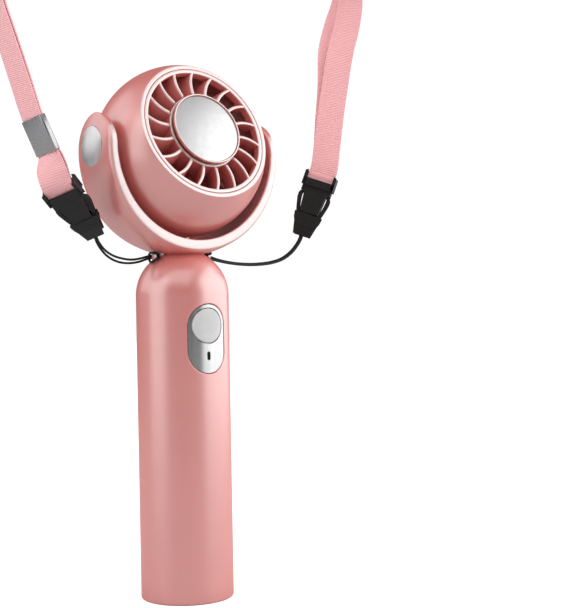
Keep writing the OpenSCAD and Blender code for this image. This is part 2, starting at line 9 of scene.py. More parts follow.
import bmesh
import bpy
import numpy as np
from bpy.props import FloatProperty, FloatVectorProperty, IntProperty, PointerProperty
from mathutils import Matrix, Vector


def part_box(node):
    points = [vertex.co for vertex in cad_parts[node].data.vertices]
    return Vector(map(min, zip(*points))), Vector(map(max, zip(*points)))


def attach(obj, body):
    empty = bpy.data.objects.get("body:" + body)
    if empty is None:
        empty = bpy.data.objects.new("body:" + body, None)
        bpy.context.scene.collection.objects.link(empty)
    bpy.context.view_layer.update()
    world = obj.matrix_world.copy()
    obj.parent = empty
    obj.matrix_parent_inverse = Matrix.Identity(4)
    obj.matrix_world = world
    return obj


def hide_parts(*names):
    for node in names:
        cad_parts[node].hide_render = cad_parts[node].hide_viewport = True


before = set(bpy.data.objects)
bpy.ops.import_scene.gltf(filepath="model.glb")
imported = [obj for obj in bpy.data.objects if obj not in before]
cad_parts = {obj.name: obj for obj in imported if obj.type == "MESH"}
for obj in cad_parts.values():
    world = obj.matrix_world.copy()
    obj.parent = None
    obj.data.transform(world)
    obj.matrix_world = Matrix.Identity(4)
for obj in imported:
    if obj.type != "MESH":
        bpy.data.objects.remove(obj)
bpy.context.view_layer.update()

bl_info = {
    "name": "Handheld fan",
    "version": (1, 0, 0),
    "blender": (4, 5, 0),
    "location": "3D View > Sidebar > Handheld fan",
    "description": "Shells, grille, lanyard and studio of a handheld fan",
    "category": "Add Mesh",
}

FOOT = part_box("foot_pad")[0].z
GRIP_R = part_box("grip_shell")[1].x
PIVOT = np.array([0, 0, (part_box("pivot_cap_left")[0].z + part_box("pivot_cap_left")[1].z) / 2])
TURN = 2 * math.pi
QUARTER = math.pi / 2
SMOOTH_UP_TO = 40  # degrees between two faces that still shade as one
BEVEL_OVER = 30  # degrees between two faces whose edge is rounded


# ---------------------------------------------------------------- settings


def in_metres(name, text, value, precision=4):
    """A setting in metres."""
    return FloatProperty(
        name=name, description=text, default=value, unit="LENGTH", precision=precision)


def in_degrees(name, text, degrees):
    """A setting in radians, given in degrees."""
    return FloatProperty(name=name, description=text, default=math.radians(degrees), unit="ROTATION")


def in_watts(name, text, watts):
    """A setting in watts."""
    return FloatProperty(name=name, description=text, default=watts, unit="POWER")


def in_rgb(name, text, red, green, blue):
    """A colour setting."""
    return FloatVectorProperty(
        name=name, description=text, default=(red, green, blue), subtype="COLOR", min=0, max=1)


class FanSizes(bpy.types.PropertyGroup):
    """Sizes of the fan's own shapes. The frame gives where they go."""

    ball_r: in_metres("Ball radius", "Outside radius of the head", 0.0297)
    face_at: in_metres("Face", "From the tilt axis to the grille's face", 0.0169)
    head_tilt: in_degrees("Head tilt", "How far the head looks up", 20)
    vanes: IntProperty(name="Vanes", description="Vanes in the grille", default=18, min=8, max=30)
    vane_lean: in_metres("Vane lean", "How far a vane's back edge is carried round", 0.0016)
    vane_swirl: in_degrees("Vane swirl", "How far a vane turns on its way in to the hub", 5.8)
    vane_bow: in_degrees("Vane bow", "How far ahead of that a vane is halfway", 2)
    ribbon_w: in_metres("Ribbon width", "Width of the lanyard ribbon", 0.010)
    ribbon_t: in_metres("Ribbon thickness", "Thickness of one layer", 0.00065, 5)
    rib: in_metres("Rib pitch", "From one rib of the ribbon to the next", 0.00062, 5)
    cord_d: in_metres("Cord diameter", "Diameter of the thin cord", 0.0008)


class FanColours(bpy.types.PropertyGroup):
    """Colours of the fan's finishes."""

    shell: in_rgb("Shell", "Satin shell", 0.66, 0.175, 0.155)
    # Painted highlight: a paler shell colour for the flat fronts, standing in for the soft front light that
    # falls on them.
    face: in_rgb("Front faces", "Flat fronts of the rim, the grille and the yoke", 0.70, 0.54, 0.515)
    inside: in_rgb("Inside", "Mouldings behind the vanes", 0.78, 0.24, 0.22)
    disc: in_rgb("Disc", "Metal disc in the hub", 0.60, 0.60, 0.605)
    caps: in_rgb("Caps", "Metal pivot caps", 0.66, 0.66, 0.665)
    panel: in_rgb("Panel", "Brushed control panel", 0.48, 0.48, 0.485)
    ribbon: in_rgb("Ribbon", "Lanyard ribbon", 0.92, 0.46, 0.48)
    black: in_rgb("Black", "Buckles and cords", 0.02, 0.02, 0.0205)


class FanStage(bpy.types.PropertyGroup):
    """Camera and lights."""

    lens: FloatProperty(name="Lens", description="Focal length in mm", default=77.57)
    azimuth: in_degrees("Azimuth", "Where the camera stands", -37.77)
    pitch: in_degrees("Pitch", "How far the camera looks up", -0.14)
    roll: in_degrees("Roll", "Turn about the line of sight", -1.04)
    key_power: in_watts("Key", "Power of the large softbox", 16.0)
    strip_power: in_watts("Strip", "Power of the narrow softbox", 3.2)
    rim_power: in_watts("Rim", "Power of the softbox behind the left side", 1.5)
    top_power: in_watts("Top", "Power of the top light", 4.5)
    fill: FloatProperty(name="Fill", description="Brightness of the room on matt surfaces", default=0.48)
    gloss_fill: FloatProperty(
        name="Gloss fill", description="Brightness of the room in reflections", default=0.12)


# ---------------------------------------------------------------- shapes


def lift(points):
    """Points measured from the foot of the grip, moved into the frame."""
    return np.asarray(points, float) + np.array([0, 0, FOOT])


def unit(v):
    """A vector, or each row of vectors, divided by its length."""
    v = np.asarray(v, float)
    return v / np.linalg.norm(v, axis=-1, keepdims=True)


def axes_at(origin, z_dir, x_hint):
    """A matrix whose Z is z_dir and whose X is x_hint made square to it."""
    z = unit(z_dir)
    y = unit(np.cross(z, x_hint))
    m = np.eye(4)
    m[:3, 0], m[:3, 1], m[:3, 2], m[:3, 3] = np.cross(y, z), y, z, origin
    return m


def head_axes(sizes):
    """The head's axes: Z is the way the fan blows, X the tilt axis."""
    t = sizes.head_tilt
    return axes_at(PIVOT, (0, -math.cos(t), math.sin(t)), (1, 0, 0))


def place(points, m):
    """Points carried by a 4 by 4 matrix."""
    return np.asarray(points) @ m[:3, :3].T + m[:3, 3]


def spline(rows, n):
    """n rows on a smooth curve through the given rows, spaced by arc length.

    Each span is a cubic whose slope at a row is half the step between that
    row's neighbours."""
    rows = np.asarray(rows, float)
    step = np.linalg.norm(np.diff(rows[:, :3], axis=0), axis=1)
    at = np.concatenate([[0], np.cumsum(step)])
    slope = np.gradient(rows, at, axis=0)
    fine = np.linspace(0, at[-1], 8 * n)
    k = np.clip(np.searchsorted(at, fine, "right") - 1, 0, len(rows) - 2)
    h = (at[k + 1] - at[k])[:, None]
    t = (fine - at[k])[:, None] / h
    curve = ((1 + 2 * t) * (1 - t) ** 2 * rows[k] + t * (1 - t) ** 2 * h * slope[k]
             + t ** 2 * (3 - 2 * t) * rows[k + 1] + t ** 2 * (t - 1) * h * slope[k + 1])
    walked = np.concatenate([[0], np.cumsum(np.linalg.norm(np.diff(curve[:, :3], axis=0), axis=1))])
    even = np.linspace(0, walked[-1], n)
    return np.stack([np.interp(even, walked, curve[:, c]) for c in range(rows.shape[1])], 1)


def length_of(path):
    """Length of a path of points."""
    return float(np.linalg.norm(np.diff(path, axis=0), axis=1).sum())


def rounded(corners, steps=5):
    """A closed outline whose corners (x, y, radius) are replaced by arcs.

    At each corner the arc touches both edges; it starts and ends at the
    distance radius / tan(half the angle) from the corner."""
    out = []
    n = len(corners)
    for i, (x, y, r) in enumerate(corners):
        p = np.array([x, y], float)
        a = unit(np.array(corners[i - 1][:2]) - p)
        b = unit(np.array(corners[(i + 1) % n][:2]) - p)
        half = math.acos(float(np.clip(a @ b, -1, 1))) / 2
        if r <= 0 or half > math.radians(88):
            out.append(p[None])
            continue
        cut = r / math.tan(half)
        centre = p + unit(a + b) * r / math.sin(half)
        t = np.linspace(0, 1, steps + 1)[:, None]
        chord = (1 - t) * (p + a * cut - centre) + t * (p + b * cut - centre)
        out.append(centre + unit(chord) * r)
    return np.concatenate(out)


def round_box(half_w, half_h, radius):
    """The outline of a rectangle about the origin, with round corners."""
    corners = [(1, 1), (-1, 1), (-1, -1), (1, -1)]
    return rounded([(x * half_w, y * half_h, radius) for x, y in corners])


def domed(radius, edge_r, top, sag, seat, n):
    """Half the section of a domed disc, from its middle out and back.

    The dome is a parabola that falls by sag; a quarter circle rolls it over
    into the wall, and the back is flat at the seat."""
    t = np.linspace(0, 1, n)[:, None]
    dome = np.concatenate([t * (radius - edge_r), top - sag * t ** 2], 1)
    edge = arc(edge_r, QUARTER, 0, 5, (radius - edge_r, top - sag - edge_r))
    return np.concatenate([dome, edge, [[radius, seat], [0, seat]]])


def arc(radius, a0, a1, n, centre=(0, 0)):
    """Points on a circle from angle a0 to a1, in radians."""
    a = np.linspace(a0, a1, n)
    return np.stack([centre[0] + radius * np.cos(a), centre[1] + radius * np.sin(a)], 1)


def new_object(name, verts, faces, uv=None, sharp=SMOOTH_UP_TO):
    """A mesh object whose normals are smooth up to the sharp angle."""
    mesh = bpy.data.meshes.new(name)
    mesh.from_pydata(verts, [], faces)
    if uv is not None:
        layer = mesh.uv_layers.new(name="UVMap")
        layer.data.foreach_set("uv", uv.astype(np.float32).ravel())
    mesh.validate()
    mesh.shade_smooth()
    mesh.set_sharp_from_angle(angle=math.radians(sharp))
    return linked(name, mesh)


def linked(name, data):
    """A new object in the scene."""
    obj = bpy.data.objects.new(name, data)
    bpy.context.scene.collection.objects.link(obj)
    return obj


def grid_faces(nu, nv, close_u, close_v):
    """Quads of an nu by nv grid of points, closed either way if asked."""
    rows, columns = np.arange(nu if close_u else nu - 1), np.arange(nv if close_v else nv - 1)
    i, j = np.meshgrid(rows, columns, indexing="ij")
    i, j = i.ravel(), j.ravel()
    i1, j1 = (i + 1) % nu, (j + 1) % nv
    return np.stack([i * nv + j, i1 * nv + j, i1 * nv + j1, i * nv + j1], 1)


def surface(name, grid, close_u=False, close_v=False, caps=False, uv_size=None, sharp=SMOOTH_UP_TO):
    """A mesh on a grid of points, turned so that its faces point outwards.

    caps closes the first and last rows of an open tube. A row that has
    shrunk to a point becomes a fan of triangles when doubles are merged.
    uv_size is the surface's length along the rows and round them."""
    nu, nv = grid.shape[:2]
    verts = grid.reshape(-1, 3)
    quads = grid_faces(nu, nv, close_u, close_v)
    a, b, c, d = (verts[quads[:, k]] for k in range(4))
    centre = verts.mean(0)
    volume = (np.einsum("ij,ij->i", a - centre, np.cross(b - a, c - a))
              + np.einsum("ij,ij->i", a - centre, np.cross(c - a, d - a))).sum()
    if volume < 0:
        quads = quads[:, ::-1]
    faces = quads.tolist()
    uv = None
    if caps:
        first, last = list(range(nv)), list(range((nu - 1) * nv, nu * nv))
        faces += [first if volume > 0 else first[::-1], last[::-1] if volume > 0 else last]
    if uv_size is not None:
        base = np.stack([quads // nv, quads % nv], 2).astype(float)
        if close_v:
            top = base[:, :, 1].max(1, keepdims=True)
            base[:, :, 1] = np.where((base[:, :, 1] == 0) & (top == nv - 1), nv, base[:, :, 1])
        base[:, :, 0] *= uv_size[0] / (nu - 1)
        base[:, :, 1] *= uv_size[1] / nv
        uv = base.reshape(-1, 2)
        if caps:
            uv = np.concatenate([uv, np.zeros((2 * nv, 2))])
    return new_object(name, verts.tolist(), faces, uv, sharp)


def weld(obj, sharp=SMOOTH_UP_TO):
    """Merges doubles, so that poles and seams are closed."""
    bm = bmesh.new()
    bm.from_mesh(obj.data)
    bmesh.ops.remove_doubles(bm, verts=bm.verts, dist=2e-6)
    bmesh.ops.dissolve_degenerate(bm, edges=bm.edges, dist=1e-7)
    bm.to_mesh(obj.data)
    bm.free()
    obj.data.shade_smooth()
    obj.data.set_sharp_from_angle(angle=math.radians(sharp))
    return obj


def revolve(name, profile, m, segments=160, closed=True):
    """A profile of (radius, height) carried round the Z axis of m.

    A closed profile makes a ring-like solid. An open one starts and ends on
    the axis."""
    a = np.arange(segments) * TURN / segments
    r, h = profile[:, 0], profile[:, 1]
    rise = np.repeat(h[:, None], segments, 1)
    grid = np.stack([r[:, None] * np.cos(a), r[:, None] * np.sin(a), rise], 2)
    return weld(surface(name, place(grid, m), close_u=closed, close_v=True))


def prism(name, outline, thickness, m, bevel):
    """An outline in the XZ plane of m, carried from -Y to +Y.

    Every edge whose faces turn by more than BEVEL_OVER is bevelled."""
    outline = np.asarray(outline, float)
    n = len(outline)
    x, z = outline[:, 0], outline[:, 1]
    if (x * np.roll(z, -1) - np.roll(x, -1) * z).sum() < 0:
        x, z = x[::-1], z[::-1]
    grid = np.stack([np.stack([x, np.full(n, s * thickness / 2), z], 1) for s in (-1, 1)])
    side = grid_faces(2, n, False, True)[:, ::-1]
    faces = side.tolist() + [list(range(n)), list(range(2 * n - 1, n - 1, -1))]
    obj = new_object(name, place(grid.reshape(-1, 3), m).tolist(), faces)
    mod = obj.modifiers.new("edges", "BEVEL")
    mod.width = bevel
    mod.segments = 3
    mod.limit_method = "ANGLE"
    mod.angle_limit = math.radians(BEVEL_OVER)
    return obj


def join(name, objs):
    """One object from several, with their modifiers applied."""
    bm = bmesh.new()
    deps = bpy.context.evaluated_depsgraph_get()
    for o in objs:
        held = o.evaluated_get(deps)
        mesh = held.to_mesh()
        bm.from_mesh(mesh)
        held.to_mesh_clear()
    mesh = bpy.data.meshes.new(name)
    bm.to_mesh(mesh)
    bm.free()
    mesh.shade_smooth()
    mesh.set_sharp_from_angle(angle=math.radians(SMOOTH_UP_TO))
    for o in objs:
        bpy.data.objects.remove(o)
    return linked(name, mesh)


def from_node(node, name):
    """A merged copy of a CAD node, with smooth normals."""
    obj = linked(name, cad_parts[node].data.copy())
    obj.data.materials.clear()
    return weld(obj, sharp=30)


def paint_front_highlight(obj, direction, limit=0.8):
    """Gives the faces that look along a direction the paler shell colour.

    This is painted highlight: the flat fronts are made paler to stand in
    for the soft front light that falls on them. A face is one of them
    where its normal's part along the direction is over the limit."""
    mesh = obj.data
    normals = np.empty(len(mesh.polygons) * 3, np.float32)
    mesh.polygons.foreach_get("normal", normals)
    front = normals.reshape(-1, 3) @ unit(direction) > limit
    mesh.materials.append(MATERIALS["shell_face"])
    mesh.polygons.foreach_set("material_index", front.astype(np.int32))
    mesh.update()


def finish_piece(obj, body, material, slot, *replaced):
    """Gives a piece its material and its body, and hides the CAD nodes that
    it stands for. The slot is not used.
    """
    obj.data.materials.clear()
    obj.data.materials.append(material)
    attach(obj, body)
    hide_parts(*replaced)


# ---------------------------------------------------------------- finishes


FIELD_LOW, FIELD_HIGH = 0.3, 0.7  # most of a noise field lies between these
WAVES_PER_UNIT = 3.1831  # waves of a wave texture of scale 1 to the unit


class Finish:
    """A node material under construction, with short helpers for its nodes."""

    def __init__(self, name, colour, rough, metal=0.0):
        self.material = bpy.data.materials.new(name)
        self.material.use_nodes = True
        self.nodes = self.material.node_tree.nodes
        self.links = self.material.node_tree.links
        self.shader = self.nodes["Principled BSDF"]
        self.coords = self.nodes.new("ShaderNodeTexCoord")
        self.colour = tuple(colour)
        self.rough = rough
        self.shader.inputs["Base Color"].default_value = (*colour, 1)
        self.shader.inputs["Roughness"].default_value = rough
        self.shader.inputs["Metallic"].default_value = metal
        self.normal = None

    def node(self, kind, **inputs):
        """A new node, each input set to its value or linked from a socket."""
        made = self.nodes.new("ShaderNode" + kind)
        for name, value in inputs.items():
            socket = made.inputs[name.replace("_", " ")]
            if isinstance(value, bpy.types.NodeSocket):
                self.links.new(value, socket)
            else:
                socket.default_value = value
        return made

    def vector(self, scale, space="Object", turn=(0, 0, 0)):
        """Coordinates stretched by scale along each axis."""
        mapping = self.node("Mapping", Vector=self.coords.outputs[space], Scale=scale, Rotation=turn)
        return mapping.outputs["Vector"]

    def noise(self, scale, detail=3.0, stretch=(1, 1, 1), space="Object"):
        """A noise field of about scale cycles to the metre."""
        field = self.node("TexNoise", Vector=self.vector(stretch, space), Scale=scale, Detail=detail)
        return field.outputs["Fac"]

    def wave(self, pitch, turn=0.0):
        """A sine wave of the given pitch in metres along U, or at an angle to it."""
        at = self.vector((1, 1, 1), "UV", (0, 0, turn))
        return self.node("TexWave", Vector=at, Scale=1 / pitch / WAVES_PER_UNIT).outputs["Fac"]

    def tint(self, value, dark, light):
        """Base colour from dark to light times the finish's own colour."""
        ramp = self.node("ValToRGB", Fac=value)
        for element, at, share in zip(ramp.color_ramp.elements, (FIELD_LOW, FIELD_HIGH), (dark, light)):
            element.position = at
            element.color = (*[min(1, c * share) for c in self.colour], 1)
        self.links.new(ramp.outputs["Color"], self.shader.inputs["Base Color"])

    def roughness(self, value, spread):
        """Roughness that wanders by spread about its middle."""
        span = self.node("MapRange", Value=value, From_Min=FIELD_LOW, From_Max=FIELD_HIGH,
                         To_Min=self.rough - spread, To_Max=self.rough + spread)
        self.links.new(span.outputs["Result"], self.shader.inputs["Roughness"])

    def bump(self, value, depth, strength=1.0):
        """Adds relief of the given depth in metres to the normal."""
        relief = self.node("Bump", Height=value, Distance=depth, Strength=strength)
        if self.normal is not None:
            self.links.new(self.normal, relief.inputs["Normal"])
        self.normal = relief.outputs["Normal"]
        self.links.new(self.normal, self.shader.inputs["Normal"])

    def set(self, **sockets):
        """Uniform values on the shader's own sockets."""
        for name, value in sockets.items():
            self.shader.inputs[name.replace("_", " ")].default_value = value


MATERIALS = {}


def satin_shell(name, colour, rough=0.33):
    """Satin pearl paint over a moulding: faint mottling and fine orange peel."""
    f = Finish(name, colour, rough)
    f.tint(f.noise(60), 0.975, 1.02)
    f.roughness(f.noise(220), 0.025)
    f.bump(f.noise(2600, 2), 6e-6, 0.25)
    f.set(IOR=3.0)
    return f.material


def satin_metal(name, colour, rough, stretch=(1, 1, 1), depth=6e-6):
    """Metal with a fine grain, drawn out along one axis where it is brushed."""
    f = Finish(name, colour, rough, 1.0)
    grain = f.noise(2200, 3, stretch)
    f.tint(grain, 0.96, 1.03)
    f.roughness(f.noise(500, 2, stretch), 0.05)
    f.bump(grain, depth, 0.35)
    return f.material


def moulded(name, colour, rough, depth=8e-6, coat=0.0, gloss=0.5):
    """Moulded plastic or rubber with a fine spark-eroded grain."""
    f = Finish(name, colour, rough)
    f.tint(f.noise(180), 0.93, 1.05)
    f.roughness(f.noise(700), 0.05)
    f.bump(f.noise(2400, 3), depth, 0.4)
    f.set(Coat_Weight=coat, Specular_IOR_Level=gloss)
    return f.material


def ribbon_weave(name, colour, rib):
    """Satin ribbon: cross ribs along its length, fine yarns and a soft sheen."""
    f = Finish(name, colour, 0.55)
    ribs = f.wave(rib)
    f.tint(ribs, 0.9, 1.05)
    f.bump(ribs, 1.2e-4, 0.7)
    f.bump(f.noise(5200, 2, (0.25, 1, 1), "UV"), 2e-5, 0.35)
    f.set(Sheen_Weight=0.5, Sheen_Roughness=0.4, Sheen_Tint=(1.0, 0.82, 0.82, 1))
    return f.material


def braid(name, colour, pitch):
    """Braided cord: two crossing waves of yarn."""
    f = Finish(name, colour, 0.5)
    f.tint(f.noise(1500, 2, (1, 1, 1), "UV"), 0.7, 1.6)
    for turn in (0.7, -0.7):
        f.bump(f.wave(pitch, turn), 4e-5, 0.5)
    f.set(Specular_IOR_Level=0.15)
    return f.material


def make_materials(colours, sizes):
    """Every finish of the fan, by name."""
    MATERIALS.update(
        shell=satin_shell("shell_satin", colours.shell),
        # The paler shell for the flat fronts: painted highlight standing in for the front light on them.
        shell_face=satin_shell("shell_face_satin", colours.face),
        inside=satin_shell("inside_satin", colours.inside, 0.45),
        disc=satin_metal("disc_silver", colours.disc, 0.46),
        caps=satin_metal("cap_silver", colours.caps, 0.36),
        panel=satin_metal("panel_brushed", colours.panel, 0.27, (1, 1, 0.03)),
        crimp=satin_metal("crimp_nickel", (0.36, 0.36, 0.37), 0.28, (1, 1, 0.08), 1e-5),
        steel=satin_metal("plain_steel", (0.55, 0.55, 0.57), 0.32),
        button=moulded("button_grey", (0.58, 0.58, 0.585), 0.4, 3e-6, gloss=0.3),
        lens=moulded("lens_black", (0.004, 0.004, 0.004), 0.3, 1e-6, gloss=0.1),
        buckle=moulded("buckle_black", colours.black, 0.38, 8e-6, gloss=0.2),
        buckle_tip=moulded("buckle_tip_black", colours.black, 0.22, 2e-6, gloss=0.3),
        ribbon=ribbon_weave("ribbon_satin", colours.ribbon, sizes.rib),
        cord=braid("cord_braid", colours.black, sizes.cord_d * 0.9),
        foot=moulded("foot_rubber", (0.03, 0.03, 0.03), 0.75, 2e-5),
        white=moulded("white_plastic", (0.75, 0.73, 0.70), 0.45),
        board=moulded("board_lacquer", (0.01, 0.12, 0.04), 0.3, 1e-5, 0.4),
        cell=moulded("cell_wrap", (0.05, 0.14, 0.33), 0.25, 4e-6, 0.5),
        foam=moulded("foam_grey", (0.35, 0.35, 0.34), 0.9, 6e-5),
    )


# The CAD nodes shown as they are, by finish.
PLAIN_NODES = {
    "inside": ("base_cap", "impeller"),
    "foot": ("foot_pad",),
    "steel": ("charging_port", "board_screws", "stem_nut", "pivot_pin_left", "pivot_pin_right",
              "pivot_screw_left", "pivot_screw_right", "head_screws", "motor_can", "motor_screws",
              "motor_shaft", "shaft_clip"),
    "board": ("port_board", "circuit_board"),
    "cell": ("battery_cell",),
    "foam": ("battery_sleeve",),
    "white": ("board_bracket", "indicator_led", "friction_washer_left", "friction_washer_right"),
    "buckle": ("tact_switch",),
    "panel": ("control_panel",),
    "lens": ("indicator_lens",),
}


# ---------------------------------------------------------------- grip


def slot_distance(x, z, half_w, half_h):
    """Signed distance from an upright slot shape: negative inside it."""
    return np.hypot(x, np.maximum(np.abs(z) - (half_h - half_w), 0)) - half_w


def dense(low, high, fine_spans, fine, coarse):
    """Stations from low to high, close together inside the fine spans."""
    marks = [low]
    for a, b in fine_spans:
        marks += list(np.linspace(marks[-1], a, max(2, int((a - marks[-1]) / coarse) + 2))[1:])
        marks += list(np.linspace(a, b, int((b - a) / fine) + 2)[1:])
    marks += list(np.linspace(marks[-1], high, max(2, int((high - marks[-1]) / coarse) + 2))[1:])
    return np.array(marks)


def build_grip():
    """The grip: a tube with a hemispherical shoulder, in one closed surface.

    Its outer radius is the grip's radius, less a smooth step inwards inside
    the panel's outline and inside the charging port's outline."""
    low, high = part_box("control_panel")
    shoulder = 0.104
    half_w = (high.x - low.x) / 2 + 0.0001
    half_h = (high.z - low.z) / 2 + 0.0001
    panel_z = (high.z + low.z) / 2 - FOOT
    port_low, port_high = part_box("charging_port")
    port_z = (port_low.z + port_high.z) / 2 - FOOT
    port_h = (port_high.z - port_low.z) / 2 + 0.0002
    port_w = (port_high.x - port_low.x) / 2 + 0.0002
    panel_arc, port_arc = 0.52, 0.33
    theta = dense(-math.pi, math.pi, [(-QUARTER - panel_arc, -QUARTER + panel_arc),
                                      (QUARTER - port_arc, QUARTER + port_arc)], 0.0105, 0.05)[:-1]
    side = dense(0.0009, shoulder, [(port_z - port_h - 0.0005, port_z + port_h + 0.0005),
                                    (panel_z - half_h - 0.0006, panel_z + half_h + 0.0006)], 0.00017, 0.004)
    t, z = np.meshgrid(theta, side, indexing="ij")
    x = GRIP_R * np.cos(t)
    front = np.sin(t) < 0
    panel_d = np.where(front, slot_distance(x, z - panel_z, half_w, half_h), 1.0)
    port_d = np.where(front, 1.0, slot_distance(z - port_z, x, port_h, port_w))
    lip, panel_depth, port_depth = 0.00045, 0.0016, 0.0066

    def step(d, depth):
        """A smooth fall of depth across the lip, from its edge inwards."""
        s = np.clip((lip - d) / lip - 0.35, 0, 1)
        return depth * s * s * (3 - 2 * s)

    radius = GRIP_R - step(panel_d, panel_depth) - step(port_d, port_depth)
    column = np.stack([radius * np.cos(t), radius * np.sin(t), z], 2)
    wall, neck, e = 0.0018, 0.00705, 0.0009
    foot_arc = arc(e, -QUARTER, 0, 6, (GRIP_R - e, e))[:-1]
    dome = arc(GRIP_R, 0, math.acos(neck / GRIP_R), 30, (0, shoulder))[1:]
    in_r = GRIP_R - wall
    inner = np.concatenate([arc(in_r, math.acos(neck / in_r), 0, 12, (0, shoulder)), [[in_r, 0]]])

    def ring(profile):
        """A profile of (radius, height) carried round at every theta."""
        r, h = profile[:, 0], profile[:, 1]
        return np.stack([r * np.cos(theta)[:, None], r * np.sin(theta)[:, None],
                         np.broadcast_to(h, (len(theta), len(h)))], 2)

    grid = np.concatenate([ring(foot_arc), column, ring(dome), ring(inner)], 1)
    obj = surface("grip_shell_piece", lift(grid), close_u=True, close_v=True, sharp=50)
    finish_piece(obj, "fan_body", MATERIALS["shell"], "pink_shell", "grip_shell")


def build_button():
    """The button: a disc whose face follows the grip's curve, on a stem.

    A point of the face at x stands where the grip's circle is at x, less the
    drop of the rolled edge. The flange and the stem behind it are flat."""
    low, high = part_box("power_button")
    middle = (low.z + high.z) / 2
    r, e, face_r = 0.00585, 0.0004, GRIP_R - 0.00008
    flange_r, flange_t, stem_r = 0.0066, 0.0005, 0.0016
    t = np.linspace(0, 1, 16)
    q = np.linspace(0, QUARTER, 6)[1:]
    flange = -0.0129
    rho = np.concatenate([t * (r - e), r - e + e * np.sin(q)])[:, None]
    drop = np.concatenate([0 * t, e * (1 - np.cos(q))])[:, None]
    a = np.arange(96) * TURN / 96
    x, z = rho * np.cos(a), rho * np.sin(a)
    face = np.stack([x, drop - np.sqrt(face_r ** 2 - x ** 2), middle + z], 2)
    rest = np.array([[r, flange], [flange_r, flange], [flange_r, flange + flange_t],
                     [stem_r, flange + flange_t], [stem_r, high.y], [0, high.y]])
    back = np.stack([rest[:, :1] * np.cos(a), np.repeat(rest[:, 1:], 96, 1),
                     middle + rest[:, :1] * np.sin(a)], 2)
    obj = weld(surface("power_button_piece", np.concatenate([face, back]), close_v=True))
    finish_piece(obj, "button", MATERIALS["button"], "button_grey", "power_button")


# ---------------------------------------------------------------- yoke


def build_yoke():
    """The yoke: a band between two spheres, with flat sides and round ends.

    One parameter is the angle in the XZ plane from one tip through the
    bottom to the other. The other goes round the band's section. Each point
    lies on the outer or the inner sphere at its own distance from the middle
    plane, and past the tilt axis the band's half width follows a circle."""
    outer_r, inner_r, drop = 0.0352, 0.0328, 0.001
    half_w, end_r = 0.0114, 0.0112
    middle_r = (outer_r + inner_r) / 2
    tip = QUARTER + math.asin(end_r / middle_r)
    body = np.linspace(-QUARTER, QUARTER, 121)
    past = QUARTER + (tip - QUARTER) * np.sin(np.linspace(0, QUARTER, 26))[1:]
    u = np.concatenate([-past[::-1], body, past])
    beyond = np.clip(np.abs(u) - QUARTER, 0, None)
    blend = np.clip((np.abs(u) - math.radians(70)) / math.radians(20), 0, 1)
    full = half_w + (end_r - half_w) * blend
    w = np.sqrt(np.clip(full ** 2 - (middle_r * np.sin(beyond)) ** 2, 0, None))[:, None]
    edge = np.minimum(0.0006, w * 0.6)
    roll = np.linspace(0, QUARTER, 6)

    def height(y, sphere_r, lower):
        """Distance from the tilt axis to a sphere whose centre may be lower."""
        flat = np.sqrt(np.clip(sphere_r ** 2 - y ** 2, 0, None))
        c = -lower * np.cos(u)[:, None]
        return -c + np.sqrt(np.clip(flat ** 2 - (lower * np.sin(u)[:, None]) ** 2, 0, None))

    across = (w - edge) * np.linspace(-1, 1, 15)
    aside = w - edge * (1 - np.sin(roll))
    outer_rim = height(w, outer_r, drop) - edge * (1 - np.cos(roll))
    inner_rim = height(w, inner_r, 0) + edge * (1 - np.cos(roll))
    y = np.concatenate([across, aside[:, 1:], aside[:, :0:-1],
                        across[:, ::-1], -aside[:, 1:], -aside[:, :0:-1]], 1)
    r = np.concatenate([height(across, outer_r, drop), outer_rim[:, 1:], inner_rim[:, :0:-1],
                        height(across[:, ::-1], inner_r, 0), inner_rim[:, 1:], outer_rim[:, :0:-1]], 1)
    grid = np.stack([r * np.sin(u)[:, None], y, -r * np.cos(u)[:, None]], 2) + PIVOT
    band = weld(surface("band", grid, close_v=True, caps=True))
    neck = np.array([[0.0, 0.1085], [0.0066, 0.1085], [0.0069, 0.1088], [0.0069, 0.1176], [0.0074, 0.1184],
                     [0.0, 0.1184]])
    stem = revolve("stem", neck, axes_at(lift((0, 0, 0)), (0, 0, 1), (1, 0, 0)), 96, closed=False)
    obj = join("yoke_piece", [band, stem, build_lug(-1), build_lug(1)])
    finish_piece(obj, "fan_body", MATERIALS["shell"], "pink_shell", "yoke")
    # Painted highlight: the yoke's flat fronts get the paler shell colour.
    paint_front_highlight(obj, (0, -1, 0))


def build_lug(side):
    """A cord lug: a ring-like plate between an outline and a round hole.

    Both outline and hole are sampled at the same angles about the hole, and
    the section between them has rolled edges."""
    hole = np.array([0.0096, 0.1177])
    corners = [(0.0045, 0.1150, 0.0004), (0.0110, 0.1156, 0.0003), (0.0115, 0.1161, 0.0003),
               (0.0115, 0.1184, 0.0004), (0.0108, 0.1192, 0.0003), (0.0045, 0.1192, 0.0004)]
    outline = rounded(corners) - hole
    a = np.linspace(-math.pi, math.pi, 61)[:-1]
    order = np.argsort(np.arctan2(outline[:, 1], outline[:, 0]))
    angle = np.arctan2(outline[order, 1], outline[order, 0])
    reach = np.interp(a, angle, np.hypot(*outline[order].T), period=TURN)
    t, e, hole_r = 0.0008, 0.0002, 0.0009
    section = [(0, t - e), (0.12, t), (0.85, t), (1, t - e), (1, e - t), (0.85, -t), (0.12, -t), (0, e - t)]
    grid = np.stack([np.stack([
        side * (hole[0] + (hole_r + s * (reach - hole_r)) * np.cos(a)),
        np.full_like(a, y),
        hole[1] + (hole_r + s * (reach - hole_r)) * np.sin(a)], 1) for s, y in section], 1)
    return surface("lug", lift(grid), close_u=True, close_v=True)


